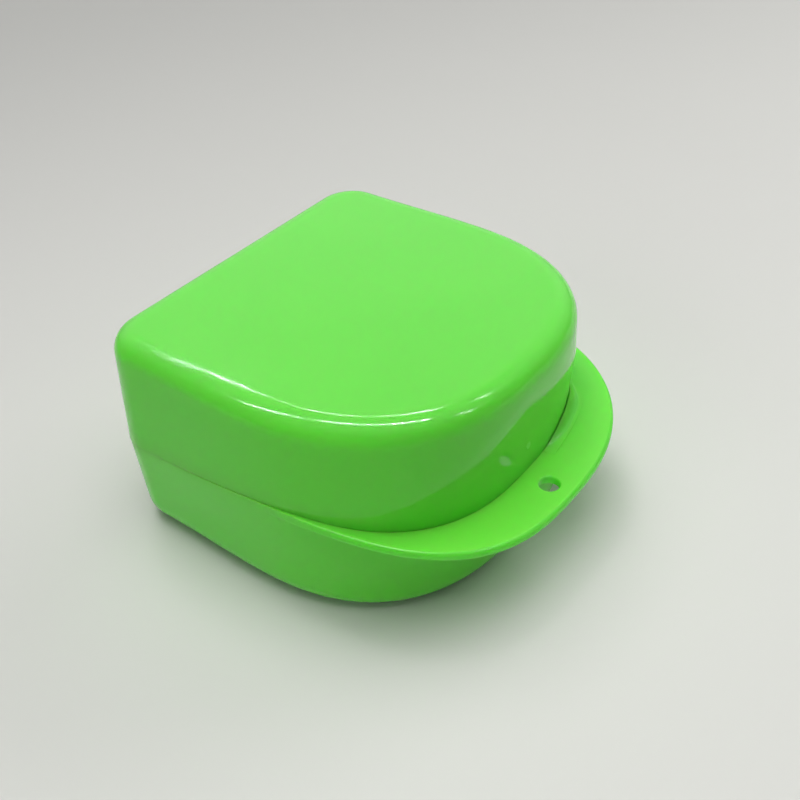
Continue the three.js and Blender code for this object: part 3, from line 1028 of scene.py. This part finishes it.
def place_camera():
    """Makes the camera and turns it from its azimuth, elevation and roll."""
    view = CameraView
    level = math.cos(view.elevation)
    back = Vector((
        math.sin(view.azimuth) * level, -math.cos(view.azimuth) * level, math.sin(view.elevation)
    ))
    right = Vector((math.cos(view.azimuth), math.sin(view.azimuth), 0))
    up = back.cross(right)
    turned_right = right * math.cos(view.roll) + up * math.sin(view.roll)
    turned_up = up * math.cos(view.roll) - right * math.sin(view.roll)
    data = bpy.data.cameras.new("camera")
    data.sensor_width = view.sensor_width
    data.lens = view.lens
    data.clip_start = view.near_limit
    data.dof.use_dof = False
    camera = bpy.data.objects.new("camera", data)
    bpy.context.scene.collection.objects.link(camera)
    turn = Matrix((turned_right, turned_up, back)).transposed().to_4x4()
    camera.matrix_world = Matrix.Translation(view.target + back * view.distance) @ turn
    bpy.context.scene.camera = camera


# Operators

class MouldTray(bpy.types.Operator):
    """Moulds the tray with its flange, tongue, hinge ears and cord hole."""

    bl_idname = "denture_case.mould_tray"
    bl_label = "Mould Tray"

    def execute(self, context):
        case = context.scene.denture_case
        plan, lid, tray, hinge = case.plan, case.lid, case.tray, case.hinge
        outline = Outline(plan)
        axis = Vector((0, plan.back_reach, HINGE.z))

        def relief(bm):
            add_bar(bm, hinge.knuckle_radius + hinge.gap, hinge.knuckle_length + 2 * hinge.gap, axis)

        def ears(bm):
            for side in (-1, 1):
                add_ear(bm, side, hinge, plan, tray)

        def pips(bm):
            for side in (-1, 1):
                middle = hinge.knuckle_length / 2 + hinge.gap - hinge.pip_length / 2 + plan.wall / 2
                place = axis + Vector((side * middle, 0, 0))
                add_bar(bm, hinge.pip_radius, hinge.pip_length + plan.wall, place, hinge.end_bevel)

        def bead(bm):
            place = bead_place(outline, lid, tray, hinge)
            add_bar(bm, hinge.bead_radius, hinge.bead_length, place, hinge.bead_radius * BEAD_BEVEL_SHARE)

        def cord_hole(bm):
            y = tray.hole_edge - tray.flange_reach
            wide = tray.hole_radius + tray.hole_round
            profile = [(CUT_OVERRUN, wide)]
            for turn in quarter_turns(RIM_STEPS):
                radius = tray.hole_radius + tray.hole_round * (1 - math.sin(turn))
                profile.append((tray.hole_round * math.cos(turn) - tray.hole_round, radius))
            for turn in quarter_turns(RIM_STEPS):
                radius = tray.hole_radius + tray.hole_round * (1 - math.cos(turn))
                depth = tray.hole_round - tray.flange_thickness - tray.hole_round * math.sin(turn)
                profile.append((depth, radius))
            profile.append((-tray.flange_thickness - CUT_OVERRUN, wide))
            add_lathe(bm, profile, Vector((0, y, outline.seam(0, y))), Vector((0, 0, 1)))

        def ledge(bm):
            add_ledge(bm, outline, lid, case.ledge)

        steps = [
            ("DIFFERENCE", relief), ("UNION", ears), ("UNION", pips), ("UNION", bead),
            ("DIFFERENCE", cord_hole), ("UNION", ledge)
        ]
        piece = moulding("tray_shell", tray_rings(outline, lid, tray), steps, outline.centre)
        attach(piece, "base")
        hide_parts("base_tray")
        return {"FINISHED"}


class MouldLid(bpy.types.Operator):
    """Moulds the lid with its finger scoop, skirt, knuckle and moulding gate."""

    bl_idname = "denture_case.mould_lid"
    bl_label = "Mould Lid"

    def execute(self, context):
        case = context.scene.denture_case
        plan, lid, tray, hinge = case.plan, case.lid, case.tray, case.hinge
        outline = Outline(plan)
        axis = Vector((0, plan.back_reach, HINGE.z))

        def notches(bm):
            for side in (-1, 1):
                reach = hinge.knuckle_length / 2 + hinge.gap + hinge.ear_length / 2
                place = axis + Vector((side * reach, 0, 0))
                add_bar(bm, hinge.knuckle_radius + hinge.gap, hinge.ear_length + 2 * hinge.gap, place)

        def knuckle(bm):
            add_bar(bm, hinge.knuckle_radius, hinge.knuckle_length, axis, hinge.end_bevel)

        def sockets(bm):
            for side in (-1, 1):
                deep = hinge.pip_length + hinge.gap
                middle = hinge.knuckle_length / 2 + CUT_OVERRUN / 2 - deep / 2
                place = axis + Vector((side * middle, 0, 0))
                add_bar(bm, hinge.pip_radius + hinge.pip_gap, deep + CUT_OVERRUN, place)

        def groove(bm):
            place = bead_place(outline, lid, tray, hinge)
            radius = hinge.bead_radius + tray.tongue_gap
            across = hinge.bead_length + 2 * tray.tongue_gap
            add_bar(bm, radius, across, place, radius * GROOVE_BEVEL_SHARE)

        def gate(bm):
            place = gate_place(case) - outline.centre
            out = Vector((0, -1, lid.scoop_lean - lid.draft)).normalized()
            rounding = lid.gate_proud * GATE_ROUND_SHARE
            profile = [(-plan.wall / 2, lid.gate_radius)]
            for turn in quarter_turns(RIM_STEPS):
                radius = lid.gate_radius - rounding * (1 - math.cos(turn))
                profile.append((lid.gate_proud - rounding * (1 - math.sin(turn)), radius))
            add_lathe(bm, profile, place, out)

        steps = [
            ("DIFFERENCE", notches), ("UNION", knuckle), ("DIFFERENCE", sockets),
            ("DIFFERENCE", groove), ("UNION", gate)
        ]
        piece = moulding("lid_shell", lid_rings(outline, lid, tray), steps, outline.centre)
        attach(piece, "lid")
        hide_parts("lid")
        return {"FINISHED"}


class SetStage(bpy.types.Operator):
    """Sets the floor, the world, the lamps and the camera."""

    bl_idname = "denture_case.set_stage"
    bl_label = "Set Stage"

    def execute(self, context):
        scene = context.scene
        bm = bmesh.new()
        bmesh.ops.create_grid(bm, x_segments=FLOOR_CELLS, y_segments=FLOOR_CELLS, size=FLOOR_HALF)
        mesh = bpy.data.meshes.new("floor")
        bm.to_mesh(mesh)
        bm.free()
        mesh.materials.append(floor_material())
        floor = bpy.data.objects.new("floor", mesh)
        scene.collection.objects.link(floor)

        scene.world = studio_world()
        for panel in PANELS:
            place_panel(*panel)
        for index, tube in enumerate(TUBES):
            place_tube(f"tube_{index}", *tube)

        scene.view_settings.view_transform = "Standard"
        place_camera()
        return {"FINISHED"}


class CasePanel(bpy.types.Panel):
    """Lists the operators and the sizes of the denture case."""

    bl_idname = "VIEW3D_PT_denture_case"
    bl_label = "Denture Case"
    bl_space_type = "VIEW_3D"
    bl_region_type = "UI"
    bl_category = "Denture Case"

    def draw(self, context):
        for operator in OPERATORS:
            self.layout.operator(operator.bl_idname)
        case = context.scene.denture_case
        for group in (case.plan, case.lid, case.tray, case.ledge, case.hinge, case.finish):
            box = self.layout.box()
            for name in group.__annotations__:
                box.prop(group, name)


OPERATORS = (MouldTray, MouldLid, SetStage)
GROUPS = (PlanSizes, LidSizes, TraySizes, LedgeSizes, HingeSizes, FinishColours, CaseSettings)
CLASSES = GROUPS + OPERATORS + (CasePanel,)


def register():
    for item in CLASSES:
        bpy.utils.register_class(item)
    bpy.types.Scene.denture_case = PointerProperty(type=CaseSettings)


def unregister():
    del bpy.types.Scene.denture_case
    for item in reversed(CLASSES):
        bpy.utils.unregister_class(item)


def main():
    register()
    bpy.ops.denture_case.mould_tray()
    bpy.ops.denture_case.mould_lid()
    bpy.ops.denture_case.set_stage()


if __name__ == "__main__":
    main()
